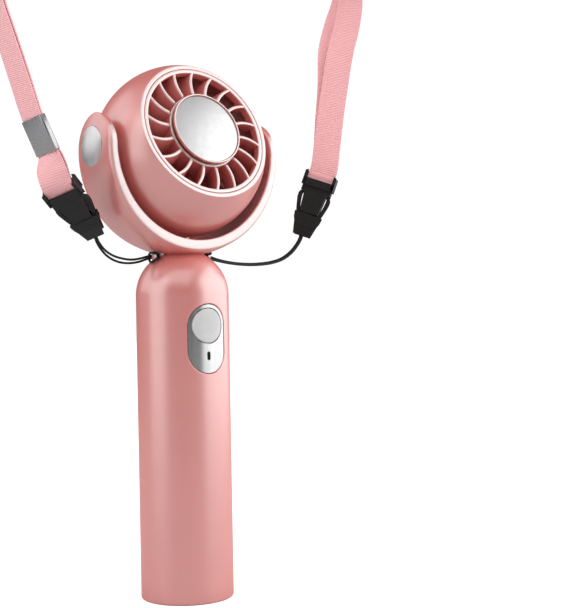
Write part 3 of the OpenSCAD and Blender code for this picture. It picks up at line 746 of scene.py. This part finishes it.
def build_pivot_caps():
    """Each pivot cap: a shallow dome with a rolled edge on a short wall."""
    r, e, sag = 0.00685, 0.0003, 0.0008
    for side, label in ((-1, "left"), (1, "right")):
        low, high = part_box("pivot_cap_" + label)
        seat, top = sorted((abs(low.x), abs(high.x)))
        profile = domed(r, e, top, sag, seat, 14)
        m = axes_at(PIVOT, (side, 0, 0), (0, 1, 0))
        obj = revolve("pivot_cap_%s_piece" % label, profile, m, 96, closed=False)
        finish_piece(obj, "fan_body", MATERIALS["caps"], "silver", "pivot_cap_" + label)


# ---------------------------------------------------------------- head


def build_head_front(sizes):
    """The front shell: a spherical wall between the grille's rim and the seam,
    with a rolled rim, and a boss on each side for the pivot."""
    big, face, wall = sizes.ball_r, sizes.face_at, 0.0018
    seam, seat_r, e = -0.014, 0.02305, 0.0004
    small = big - wall
    rim_r = math.sqrt(big ** 2 - face ** 2)
    a0 = math.asin(face / big)
    a1 = math.asin(seam / big)
    outer = arc(big, a0 - 0.02, a1 + 0.012, 60)
    rim = rounded([(seat_r, face - 0.0029, 0), (seat_r, face, e), (rim_r, face, e),
                   (float(outer[0, 0]), float(outer[0, 1]), 0)], 6)[:-1]
    inner = arc(small, a1, math.asin((face - 0.0029) / small), 30)
    profile = np.concatenate([rim, outer, [[big * math.cos(a1) - 0.0002, seam]], inner])
    shell = revolve("shell", profile, head_axes(sizes), 200)
    boss = np.array([[0.004, 0.0305], [0.006, 0.0306], [0.0063, 0.0303], [0.0063, 0.028], [0.004, 0.028]])
    bosses = [revolve("boss", boss, axes_at(PIVOT, (side, 0, 0), (0, 1, 0)), 64) for side in (-1, 1)]
    obj = join("head_shell_front_piece", [shell] + bosses)
    finish_piece(obj, "head", MATERIALS["shell"], "pink_shell", "head_shell_front")
    # Painted highlight: the rim's flat front gets the paler shell colour.
    paint_front_highlight(obj, head_axes(sizes)[:3, 2])


def build_grille(sizes):
    """The grille: an outer ring, a hub ring and curved, leaning vanes.

    A vane's first parameter runs from ring to hub while it turns by the
    swirl angle, plus the bow times a half sine wave. Its second goes round a
    rounded section of its thickness, whose back edge is carried round by the
    lean. Near the hub the front edge drops by a quarter circle."""
    m = head_axes(sizes)
    face = sizes.face_at
    ring_in, ring_out, ring_back = 0.0216, 0.02295, face - 0.0029
    ring = rounded([(ring_in, face, 0.0004), (ring_out, face, 0.0003), (ring_out, ring_back, 0),
                    (ring_in, ring_back, 0)])
    hub_in, hub_out, bore = 0.0122, 0.0132, 0.0005
    hub_front, floor, hub_back = face - 0.0006, face - 0.0067, face - 0.0077
    hub = rounded([(hub_in, hub_front, 0.0003), (hub_out, hub_front, 0.0004), (hub_out, hub_back, 0),
                   (bore, hub_back, 0), (bore, floor, 0), (hub_in, floor, 0)])
    parts = [revolve("ring", ring, m, 200), revolve("hub", hub, m, 120)]
    root_r, tip_r, first_at = 0.0130, 0.0220, math.radians(8.8)
    depth, half_t, drop = 0.0075, 0.00055, 0.0007
    s = np.linspace(0, 1, 26)[:, None]
    r = tip_r + (root_r - tip_r) * s
    swirl = sizes.vane_swirl * s + sizes.vane_bow * np.sin(math.pi * s)
    fall = np.clip((0.0142 - r) / 0.0010, 0, 1)
    front = face - 0.0001 - drop * (1 - np.sqrt(np.clip(1 - fall ** 2, 0, 1)))
    q = np.linspace(0, math.pi, 9)[None]
    side = np.concatenate([half_t * np.cos(q), np.array([[-half_t, half_t]])], 1)
    down = np.concatenate([half_t * 0.8 * (1 - np.sin(q)), np.array([[depth, depth]])], 1)
    lean = sizes.vane_lean * down / depth
    z = np.where(down < depth, front - down, face - depth)
    offset = side + lean
    for k in range(sizes.vanes):
        a = first_at + k * TURN / sizes.vanes + swirl
        x = r * np.cos(a) - offset * np.sin(a)
        y = r * np.sin(a) + offset * np.cos(a)
        grid = np.stack([x, y, np.broadcast_to(z, x.shape)], 2)
        parts.append(surface("vane", place(grid, m), close_v=True, caps=True))
    obj = join("grille_piece", parts)
    finish_piece(obj, "head", MATERIALS["shell"], "pink_shell", "grille")
    # Painted highlight: the fronts of the ring and the vanes get the paler shell colour.
    paint_front_highlight(obj, m[:3, 2], 0.5)


def build_disc(sizes):
    """The hub cap, a mushroom with a rolled rim, and the domed disc in it."""
    m = head_axes(sizes)
    face = sizes.face_at
    rim = face + 0.0018
    stem_r, brim_r, recess_r = 0.0095, 0.0128, 0.01225
    foot, under, seat = face - 0.0067, rim - 0.0013, rim - 0.0008
    cap = rounded([(0, foot, 0), (stem_r, foot, 0), (stem_r, under, 0.0003), (brim_r, under, 0.0003),
                   (brim_r, rim, 0.0003), (recess_r, rim, 0.0002), (recess_r, seat, 0), (0, seat, 0)])
    piece = revolve("hub_cap_piece", cap, m, 160, closed=False)
    finish_piece(piece, "head", MATERIALS["shell"], "pink_shell", "hub_cap")
    # Painted highlight: the hub cap's front gets the paler shell colour.
    paint_front_highlight(piece, m[:3, 2], 0.5)
    profile = domed(0.01215, 0.00025, face + 0.0025, 0.0011, rim - 0.00078, 20)
    disc = revolve("centre_disc_piece", profile, m, 160, closed=False)
    finish_piece(disc, "head", MATERIALS["disc"], "silver", "centre_disc")


# ---------------------------------------------------------------- lanyard

# Each row of a ribbon's route is x, y, z, the heading of its width in degrees,
# half the gap between the layers, and the outer layer's slip along the width.
STRAP_ROUTE = [
    (-.0531, -.0005, .156, -80, .00038, 0), (-.0555, 0, .1615, -80, .00038, 0),
    (-.0595, 0, .173, -80, .00045, 0), (-.064, 0, .186, -82, .0005, 0), (-.068, 0, .198, -85, .0005, 0),
    (-.07, 0, .21, -90, .0005, 0), (-.068, 0, .222, -90, .0005, 0), (-.061, 0, .234, -90, .00045, 0),
    (-.047, 0, .244, -90, .0004, 0), (-.024, 0, .251, -90, .0004, 0), (0, 0, .2531, -90, .0004, 0),
    (.024, 0, .252, -90, .0004, 0), (.048, 0, .246, -90, .0004, 0), (.067, 0, .237, -85, .0005, 0),
    (.077, 0, .227, -75, .0006, -.001), (.079, 0, .216, -58, .0007, -.003),
    (.077, 0, .206, -45, .0007, -.004), (.0735, 0, .196, -36, .0007, -.0035),
    (.0698, -.0005, .182, -32, .0006, -.0015), (.0662, -.0015, .168, -34, .0005, -.0005),
    (.0636, -.0025, .157, -40, .0007, 0), (.062, -.0029, .1505, -45, .001, 0),
    (.0606, -.002, .1458, -46, .00112, 0)]
RIBBON_ROUTE = [
    (-.0531, -.0005, .1559, -80, .00038, 0), (-.0509, -.001, .1506, -82, .00042, 0),
    (-.0507, -.0024, .147, -66, .0008, 0), (-.0506, -.0037, .1434, -45, .0011, 0),
    (-.0496, -.00395, .1403, -31, .00112, 0), (-.0472, -.003, .1382, -30, .00112, 0)]
# The hitch of the right cord round its lug; the left one is its mirror image.
HITCH = [
    (.0129, .0014, .1175), (.0108, .0014, .1179), (.0097, .0009, .1181), (.0097, -.0009, .1181),
    (.0112, -.0014, .1185), (.0121, .0002, .1187), (.012, .0017, .1183), (.0118, .0023, .1172),
    (.0118, .0017, .1159), (.0121, 0, .1156), (.0112, -.0014, .1164), (.0097, -.0009, .1173),
    (.0097, .0009, .1173), (.0108, .0014, .1171)]
CORD_LEFT = [
    (-.0323, .003, .1259), (-.0312, .0026, .1226), (-.0293, .0022, .1199), (-.0264, .0019, .1179),
    (-.0228, .0017, .1168), (-.019, .0015, .1164), (-.0154, .0014, .1169),
    *[(-x, y, z) for x, y, z in HITCH],
    (-.0132, .0014, .1166), (-.0162, .0015, .1157), (-.02, .0016, .1152),
    (-.024, .0018, .1156), (-.0276, .0021, .1172), (-.0304, .0025, .12), (-.0319, .0029, .1229),
    (-.0325, .003, .1259)]
CORD_RIGHT = [
    (.0547, .0024, .1271), (.0539, .0028, .1244), (.052, .003, .1218), (.0492, .003, .1193),
    (.0456, .0029, .1173), (.041, .0028, .116), (.035, .0026, .1153), (.028, .0024, .1152),
    (.021, .0021, .1158), (.016, .0017, .1167),
    *HITCH,
    (.0134, .0012, .1166), (.0166, .0009, .1159), (.0214, .0012, .1152), (.028, .0015, .1147),
    (.035, .0017, .1148), (.0414, .0019, .1156), (.046, .002, .117), (.0498, .002, .1193),
    (.0526, .002, .122), (.0543, .0018, .1246), (.0549, .0015, .1271)]

BUCKLES = {
    "left": ((-.0472, -.003, .1382), (-.032, .003, .1251), -30),
    "right": ((.0606, -.002, .1458), (.0546, .002, .1261), -46),
}


def heading_vector(degrees):
    """Unit vector in plan at a heading."""
    a = np.radians(degrees)
    return np.stack([np.cos(a), np.sin(a), np.zeros_like(a)], -1)


def buckle_axes(side):
    """A buckle's own axes: bar at the origin, tip along -Z, bar along X."""
    bar, tip, heading = BUCKLES[side]
    up = unit(np.array(bar) - np.array(tip))
    return axes_at(lift(bar), up, heading_vector(heading))


def layer_path(route, side, n):
    """Centre line, width direction and normal of one ribbon layer.

    The layer stands off the route by half the gap, and slips along its
    width."""
    rows = spline(route, n)
    path = rows[:, :3]
    along = unit(np.gradient(path, axis=0))
    w = heading_vector(rows[:, 3])
    w = unit(w - (w * along).sum(1, keepdims=True) * along)
    normal = np.cross(along, w)
    slip = rows[:, 5:6] if side < 0 else 0
    return lift(path + side * rows[:, 4:5] * normal + slip * w), w, normal


def turn_after(side, path, w, normal, radius=0.00112, n=22):
    """Half a turn of ribbon under a buckle's bar, run the way that a layer
    arrives at it."""
    m = buckle_axes(side)
    a = np.linspace(0, math.pi, n)
    local = np.stack([np.zeros(n), -radius * np.cos(a), -radius * np.sin(a)], 1)
    t_path, t_normal = place(local, m), local / radius @ m[:3, :3].T
    if np.linalg.norm(t_path[0] - path[-1]) > np.linalg.norm(t_path[-1] - path[-1]):
        t_path, t_normal = t_path[::-1], t_normal[::-1]
    t_w = np.repeat(m[None, :3, 0], n, 0)
    return t_path, t_w * np.sign(t_w[0] @ w[-1]), t_normal * np.sign(t_normal[0] @ normal[-1])


def ribbon_piece(name, path, w, normal, sizes):
    """A ribbon: a flat section with soft edges carried along its path.

    Across the width it is very slightly crowned, and the selvedge on each
    side is a little thicker than the middle."""
    half_w, half_t = sizes.ribbon_w / 2, sizes.ribbon_t / 2
    x = np.array([1, 0.985, 0.94, 0.86, 0.5, 0, -0.5, -0.86, -0.94, -0.985])
    t = np.array([0.35, 0.85, 1.0, 0.78, 0.74, 0.74, 0.74, 0.78, 1.0, 0.85])
    x = np.concatenate([x, -x]) * half_w
    t = np.concatenate([t, -t]) * half_t
    grid = path[:, None] + x[None, :, None] * w[:, None] + t[None, :, None] * normal[:, None]
    return surface(name, grid, close_v=True, caps=True, uv_size=(length_of(path), 2 * sizes.ribbon_w))


def build_straps(sizes):
    """The two layers of the neck loop. The inner one turns under the right
    buckle's bar and meets the outer one behind it."""
    inner = layer_path(STRAP_ROUTE, 1, 420)
    inner = [np.concatenate([rows[:-4], turn]) for rows, turn in zip(inner, turn_after("right", *inner))]
    outer = layer_path(STRAP_ROUTE, -1, 420)
    for node, (path, w, normal) in (("strap_inner", inner), ("strap_outer", outer)):
        obj = ribbon_piece(node + "_piece", path, w, normal, sizes)
        finish_piece(obj, "fan_body", MATERIALS["ribbon"], "ribbon", node)


def build_buckle_ribbon(sizes):
    """The short ribbon from the crimp, round the left buckle's bar and back."""
    down = layer_path(RIBBON_ROUTE, 1, 60)
    turn = turn_after("left", *down)
    back, back_w, back_n = layer_path(RIBBON_ROUTE, -1, 60)
    back = back, back_w, back_n * np.sign(back_n[-1] @ turn[2][-1])
    path, w, normal = (np.concatenate([a[:-2], b, c[::-1][2:]]) for a, b, c in zip(down, turn, back))
    obj = ribbon_piece("buckle_ribbon_piece", path, w, normal, sizes)
    finish_piece(obj, "fan_body", MATERIALS["ribbon"], "ribbon", "buckle_ribbon")


def build_attachment_cords(sizes):
    """The thin cords: a round section carried along each route.

    The section's first axis starts square to Y, and each later one is the
    one before it made square to the path."""
    for label, route in (("left", CORD_LEFT), ("right", CORD_RIGHT)):
        path = lift(spline(route, 300))
        along = unit(np.gradient(path, axis=0))
        u = unit(np.cross(along, (0, 1, 0)))
        for i in range(1, len(u)):
            u[i] = unit(u[i - 1] - (u[i - 1] @ along[i]) * along[i])
        v = np.cross(along, u)
        a = np.arange(12) * TURN / 12
        grid = path[:, None] + sizes.cord_d / 2 * (
            np.cos(a)[None, :, None] * u[:, None] + np.sin(a)[None, :, None] * v[:, None])
        name = "attachment_cord_" + label
        obj = surface(name + "_piece", grid, close_v=True, caps=True,
                      uv_size=(length_of(path), math.pi * sizes.cord_d))
        finish_piece(obj, "fan_body", MATERIALS["cord"], "cord", name)


def build_crimp():
    """The crimp: a flat metal tube with round corners, closed on the ribbon."""
    top, bottom = lift((-.0555, 0, .1615)), lift((-.0509, -.001, .1506))
    m = axes_at(top, top - bottom, heading_vector(-80))
    half_w, half_t, wall, long, edge = 0.0055, 0.00115, 0.0003, 0.012, 0.0002
    outer, inner = round_box(half_w, half_t, 0.0006), round_box(half_w - wall, half_t - wall, 0.0003)
    lip = outer * 0.97
    rings = [(lip, 0), (outer, -edge), (outer, edge - long), (lip, -long), (inner, -long), (inner, 0)]
    grid = np.stack([np.concatenate([ring, np.full((len(ring), 1), h)], 1) for ring, h in rings])
    obj = surface("crimp_piece", place(grid, m), close_u=True, close_v=True, sharp=60)
    finish_piece(obj, "fan_body", MATERIALS["crimp"], "silver", "crimp")


def mirrored(half):
    """A half outline and its mirror image, as one closed outline."""
    half = np.asarray(half, float)
    other = half[1:-1][::-1] * (-1, 1)
    return np.concatenate([half, other])


def block(half_w, top, bottom):
    """The outline of a rectangle that is centred sideways."""
    return mirrored([(0, top), (half_w, top), (half_w, bottom), (0, bottom)])


def shifted(m, y):
    """The axes m moved along their own Y."""
    moved = m.copy()
    moved[:3, 3] += y * m[:3, 1]
    return moved


def build_buckles():
    """Each side-release buckle: collar, bar, spine and mouth; tip; two arms."""
    thick, collar_t, lip_t, arm_t = 0.0034, 0.0048, 0.0008, 0.0017
    arm = [(.00305, -.0139), (.0032, -.0143), (.0036, -.01445), (.004, -.0143), (.00415, -.0139),
           (.00425, -.0133), (.0048, -.0125), (.00545, -.01), (.00595, -.0078), (.006, -.0064),
           (.0057, -.00555), (.0051, -.0051), (.0047, -.00535), (.00495, -.00595), (.005, -.0068),
           (.00485, -.0082), (.0045, -.0102), (.00405, -.0122), (.0033, -.0131)]
    spine = [(0, -.0021), (.0053, -.0021), (.0053, -.0048), (.00395, -.0048), (.0032, -.0129), (0, -.0129)]
    mouth = [(0, -.01285), (.0032, -.0129), (.0049, -.0133), (.0046, -.0152), (.0037, -.0174), (0, -.0174)]
    for side in ("left", "right"):
        m = buckle_axes(side)
        parts = [prism("spine", mirrored(spine), thick, m, 0.0003)]
        for y in (-1, 1):
            lip_m = shifted(m, y * (collar_t - lip_t) / 2)
            plate_m = shifted(m, y * (thick + arm_t + 0.0002) / 4)
            parts.append(prism("lip", block(.0058, -.0002, -.0026), lip_t, lip_m, 0.0002))
            parts.append(prism("plate", mirrored(mouth), (thick - arm_t) / 2 - 0.0001, plate_m, 0.00025))
        parts.append(prism("floor", block(.0058, -.0021, -.0026), collar_t - 0.0002, m, 0.0001))
        for s in (-1, 1):
            ear = [(s * .0051, .0027), (s * .0058, .0025), (s * .0059, .0022), (s * .0059, -.0026),
                   (s * .0051, -.0026)]
            wall = [(s * .00442, -.0132), (s * .0049, -.0133), (s * .0046, -.0152), (s * .0037, -.0174),
                    (s * .0033, -.0174), (s * .00405, -.0152)]
            parts.append(prism("ear", ear, collar_t, m, 0.0002))
            parts.append(prism("wall", wall, arm_t + 0.0004, m, 0.00004))
        bar_m = m @ np.array(Matrix.Rotation(QUARTER, 4, "Y"))
        bar = rounded([(0, -.0055, 0), (.0007, -.0055, 0), (.0007, .0055, 0), (0, .0055, 0)])
        parts.append(revolve("bar", bar, bar_m, 24, closed=False))
        obj = join("buckle_socket_%s_piece" % side, parts)
        finish_piece(obj, "fan_body", MATERIALS["buckle"], "black_plastic", "buckle_socket_" + side)
        tip = mirrored([(0, -.0175), (.00365, -.0175), (.00285, -.021), (0, -.021)])
        parts = [prism("tip", tip, thick - 0.0002, m, 0.0004),
                 prism("tongue", block(.00315, -.01475, -.0178), arm_t, m, 0.0001)]
        obj = join("buckle_plug_%s_piece" % side, parts)
        finish_piece(obj, "fan_body", MATERIALS["buckle_tip"], "black_plastic", "buckle_plug_" + side)
        for s, label in ((-1, "a"), (1, "b")):
            outline = [(s * x, z) for x, z in arm]
            name = "prong_%s_%s" % (side, label)
            obj = prism(name + "_piece", outline, arm_t, m, 0.0002)
            finish_piece(obj, name, MATERIALS["buckle"], "black_plastic", name)


# ---------------------------------------------------------------- stage


def build_camera(stage):
    """The camera: almost level, at the stage's azimuth, a little rolled."""
    data = bpy.data.cameras.new("camera")
    data.lens = stage.lens
    data.sensor_width = 36
    data.clip_start = 0.01
    cam = linked("camera", data)
    a, pitch = stage.azimuth, stage.pitch
    forward = np.array([-math.sin(a) * math.cos(pitch), math.cos(a) * math.cos(pitch), math.sin(pitch)])
    stand = lift((-0.2476, -0.3817, 0.1015))
    m = axes_at(stand, -forward, np.cross(forward, (0, 0, 1)))
    cam.matrix_world = Matrix(m.tolist()) @ Matrix.Rotation(stage.roll, 4, "Z")
    bpy.context.scene.camera = cam


def softbox(name, azimuth, elevation, distance, width, height, power):
    """A rectangular light that looks at the middle of the fan."""
    data = bpy.data.lights.new(name, "AREA")
    data.shape = "RECTANGLE"
    data.size = width
    data.size_y = height
    data.energy = power
    obj = linked(name, data)
    a, e = math.radians(azimuth), math.radians(elevation)
    out = np.array([math.sin(a) * math.cos(e), -math.cos(a) * math.cos(e), math.sin(e)])
    target = lift((0, 0, 0.12))
    obj.matrix_world = Matrix(axes_at(target + out * distance, out, np.cross((0, 0, 1), out)).tolist())
    obj.visible_camera = False


def build_floor():
    """A round pale floor under the foot, as white to the eye as the room."""
    rings = np.concatenate([[0.0], np.geomspace(0.02, 3.0, 40)])
    a = np.arange(96) * TURN / 96
    grid = np.stack([rings[:, None] * np.cos(a), rings[:, None] * np.sin(a),
                     np.full((len(rings), 96), -0.0001)], 2)
    faces = grid_faces(len(rings), 96, False, True)
    obj = new_object("floor", lift(grid).reshape(-1, 3).tolist(), faces.tolist())
    f = Finish("floor_pale", (0.55, 0.55, 0.55), 0.9)
    f.tint(f.noise(8), 0.99, 1.0)
    f.set(Emission_Color=(1, 1, 1, 1), Specular_IOR_Level=0.0)
    ray = f.nodes.new("ShaderNodeLightPath")
    f.links.new(ray.outputs["Is Camera Ray"], f.shader.inputs["Emission Strength"])
    obj.data.materials.append(f.material)


def build_world(stage):
    """A room that is white to the eye, softer as a light and dim in
    reflections, as a studio with dark walls behind its softboxes."""
    world = bpy.data.worlds.new("room")
    bpy.context.scene.world = world
    world.use_nodes = True
    nodes, links = world.node_tree.nodes, world.node_tree.links
    path = nodes.new("ShaderNodeLightPath")
    shader = nodes["Background"]
    shader.inputs["Color"].default_value = (1, 0.98, 0.97, 1)
    shader.inputs["Strength"].default_value = stage.fill
    for ray, strength in (("Is Glossy Ray", stage.gloss_fill), ("Is Camera Ray", 1.05)):
        other, mix = nodes.new("ShaderNodeBackground"), nodes.new("ShaderNodeMixShader")
        other.inputs["Strength"].default_value = strength
        other.inputs["Color"].default_value = (1, 1, 1, 1)
        links.new(path.outputs[ray], mix.inputs["Fac"])
        links.new(shader.outputs[0], mix.inputs[1])
        links.new(other.outputs[0], mix.inputs[2])
        shader = mix
    links.new(shader.outputs[0], nodes["World Output"].inputs["Surface"])


# ---------------------------------------------------------------- operators


def settings(context):
    """The scene's three groups of settings."""
    s = context.scene
    return s.fan_sizes, s.fan_colours, s.fan_stage


class FAN_OT_stage(bpy.types.Operator):
    """Add the camera, the lights, the room and the floor"""

    bl_idname = "fan.stage"
    bl_label = "Stage"

    def execute(self, context):
        stage = settings(context)[2]
        build_camera(stage)
        build_world(stage)
        build_floor()
        softbox("key_softbox", 64, 8, 0.8, 1.7, 1.3, stage.key_power)
        softbox("strip_softbox", -98, 8, 0.8, 0.62, 1.1, stage.strip_power)
        softbox("rim_softbox", -142, 28, 0.8, 0.6, 0.7, stage.rim_power)
        softbox("top_softbox", -50, 62, 0.9, 1.2, 1.2, stage.top_power)
        context.scene.view_settings.view_transform = "Standard"
        return {"FINISHED"}


class FAN_OT_finishes(bpy.types.Operator):
    """Make the finishes, and give the plain CAD nodes theirs"""

    bl_idname = "fan.finishes"
    bl_label = "Finishes"

    def execute(self, context):
        sizes, colours, _ = settings(context)
        make_materials(colours, sizes)
        for finish, nodes in PLAIN_NODES.items():
            for node in nodes:
                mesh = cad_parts[node].data
                mesh.materials.clear()
                mesh.materials.append(MATERIALS[finish])
        return {"FINISHED"}


class FAN_OT_cords(bpy.types.Operator):
    """Add the thin cords, the neck loop's ribbons and the short ribbon"""

    bl_idname = "fan.cords"
    bl_label = "Cords and ribbons"

    def execute(self, context):
        sizes = settings(context)[0]
        build_attachment_cords(sizes)
        build_straps(sizes)
        build_buckle_ribbon(sizes)
        return {"FINISHED"}


class FAN_OT_buckles(bpy.types.Operator):
    """Add the two side-release buckles and the crimp"""

    bl_idname = "fan.buckles"
    bl_label = "Buckles and crimp"

    def execute(self, context):
        build_buckles()
        build_crimp()
        return {"FINISHED"}


class FAN_OT_grip(bpy.types.Operator):
    """Add the grip's shell and its button"""

    bl_idname = "fan.grip"
    bl_label = "Grip"

    def execute(self, context):
        build_grip()
        build_button()
        return {"FINISHED"}


class FAN_OT_yoke(bpy.types.Operator):
    """Add the yoke and its pivot caps"""

    bl_idname = "fan.yoke"
    bl_label = "Yoke"

    def execute(self, context):
        build_yoke()
        build_pivot_caps()
        return {"FINISHED"}


class FAN_OT_head(bpy.types.Operator):
    """Add the head's shells, its grille and its disc"""

    bl_idname = "fan.head"
    bl_label = "Head"

    def execute(self, context):
        sizes = settings(context)[0]
        build_head_front(sizes)
        rear = from_node("head_shell_rear", "head_shell_rear_piece")
        finish_piece(rear, "head", MATERIALS["shell"], "pink_shell", "head_shell_rear")
        build_grille(sizes)
        build_disc(sizes)
        return {"FINISHED"}


class FAN_PT_panel(bpy.types.Panel):
    """The fan's settings and its pieces, in order"""

    bl_label = "Handheld fan"
    bl_idname = "FAN_PT_panel"
    bl_space_type = "VIEW_3D"
    bl_region_type = "UI"
    bl_category = "Handheld fan"

    def draw(self, context):
        for group in settings(context):
            box = self.layout.box()
            for prop in group.bl_rna.properties:
                if prop.identifier not in ("rna_type", "name"):
                    box.prop(group, prop.identifier)
        for cls in STEPS:
            self.layout.operator(cls.bl_idname)


STEPS = (FAN_OT_finishes, FAN_OT_stage, FAN_OT_cords, FAN_OT_buckles, FAN_OT_grip, FAN_OT_yoke, FAN_OT_head)
CLASSES = (FanSizes, FanColours, FanStage, *STEPS, FAN_PT_panel)


def register():
    for cls in CLASSES:
        bpy.utils.register_class(cls)
    bpy.types.Scene.fan_sizes = PointerProperty(type=FanSizes)
    bpy.types.Scene.fan_colours = PointerProperty(type=FanColours)
    bpy.types.Scene.fan_stage = PointerProperty(type=FanStage)


def unregister():
    del bpy.types.Scene.fan_stage
    del bpy.types.Scene.fan_colours
    del bpy.types.Scene.fan_sizes
    for cls in reversed(CLASSES):
        bpy.utils.unregister_class(cls)


def main():
    """Registers the add-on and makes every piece."""
    register()
    for cls in STEPS:
        group, name = cls.bl_idname.split(".")
        getattr(getattr(bpy.ops, group), name)()


if __name__ == "__main__":
    main()
